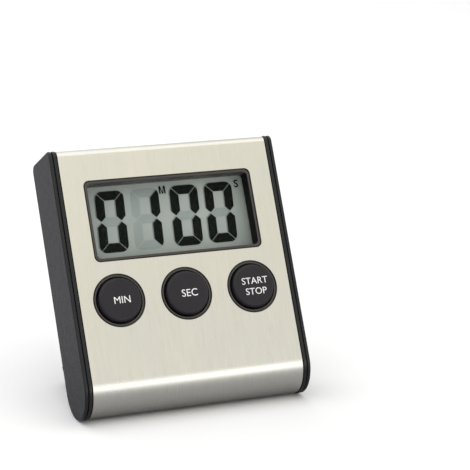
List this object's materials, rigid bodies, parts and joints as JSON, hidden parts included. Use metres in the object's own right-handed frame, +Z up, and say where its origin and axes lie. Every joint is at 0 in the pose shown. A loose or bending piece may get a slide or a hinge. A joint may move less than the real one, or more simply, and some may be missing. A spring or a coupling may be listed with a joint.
{
  "type": "kitchen timer",
  "caption": "Digital kitchen timer with a bent steel face, recessed display, round keys, rounded foot and fold-out back stand.",
  "frame": {"origin": "on the table, under the middle of the bounding box of the timer as it stands on its stand", "axes": "+Z up, +X to the right seen from the front, the display faces -Y and leans back 28 degrees"},
  "size_m": [0.08, 0.0554, 0.0836],
  "materials": {
    "brushed_steel": "brushed along the height",
    "side_plastic": "satin, fine texture",
    "black_plastic": "fine spark texture",
    "key_plastic": "satin",
    "smoke_plastic": "smoke, polished",
    "clear_plastic": "clear",
    "display": "grey-green liquid crystal glass",
    "foil": "satin",
    "silicone": "matte",
    "board": "black solder mask",
    "epoxy": "gloss",
    "nickel": "satin nickel",
    "brass": "satin",
    "screw_steel": "zinc plated",
    "wire_red": "satin",
    "wire_black": "satin"
  },
  "bodies": {
    "case": {"front_panel": "brushed_steel", "front_housing": "black_plastic", "left_side_cap": "side_plastic", "right_side_cap": "side_plastic", "back_cover": "black_plastic", "case_screw_left": "screw_steel", "case_screw_right": "screw_steel", "display_lens": "clear_plastic", "lcd_glass": "display", "lcd_reflector": "foil", "lcd_connector_top": "silicone", "lcd_connector_bottom": "silicone", "circuit_board": "board", "controller_chip": "epoxy", "quartz_crystal": "nickel", "keypad_mat": "silicone", "piezo_disc": "brass", "sounder_wire_red": "wire_red", "sounder_wire_black": "wire_black", "board_screw_top_left": "screw_steel", "board_screw_top_right": "screw_steel", "board_screw_bottom_left": "screw_steel", "board_screw_bottom_right": "screw_steel", "coin_cell": "nickel", "positive_contact": "nickel", "negative_contact": "nickel", "left_hinge_pin": "screw_steel", "right_hinge_pin": "screw_steel"},
    "stand": {"stand": "smoke_plastic"},
    "min_button": {"min_button": "key_plastic", "min_key_pad": "silicone"},
    "sec_button": {"sec_button": "key_plastic", "sec_key_pad": "silicone"},
    "start_stop_button": {"start_stop_button": "key_plastic", "start_stop_key_pad": "silicone"},
    "battery_cover": {"battery_cover": "black_plastic", "magnet": "nickel"}
  },
  "joints": [
    {"name": "stand_hinge", "type": "hinge", "parent": "case", "child": "stand", "pos_m": [0, 0.00261, 0.02848], "axis": [1, 0, 0], "range_deg": [0, 121.5]},
    {"name": "min_press", "type": "slide", "parent": "case", "child": "min_button", "axis": [0, 0.8829, -0.4695], "range_m": [0, 0.001], "stiffness_N_per_m": 1500},
    {"name": "sec_press", "type": "slide", "parent": "case", "child": "sec_button", "axis": [0, 0.8829, -0.4695], "range_m": [0, 0.001], "stiffness_N_per_m": 1500},
    {"name": "start_stop_press", "type": "slide", "parent": "case", "child": "start_stop_button", "axis": [0, 0.8829, -0.4695], "range_m": [0, 0.001], "stiffness_N_per_m": 1500},
    {"name": "battery_cover_lift", "type": "slide", "parent": "case", "child": "battery_cover", "axis": [0, 0.8829, -0.4695], "range_m": [0, 0.012]}
  ]
}
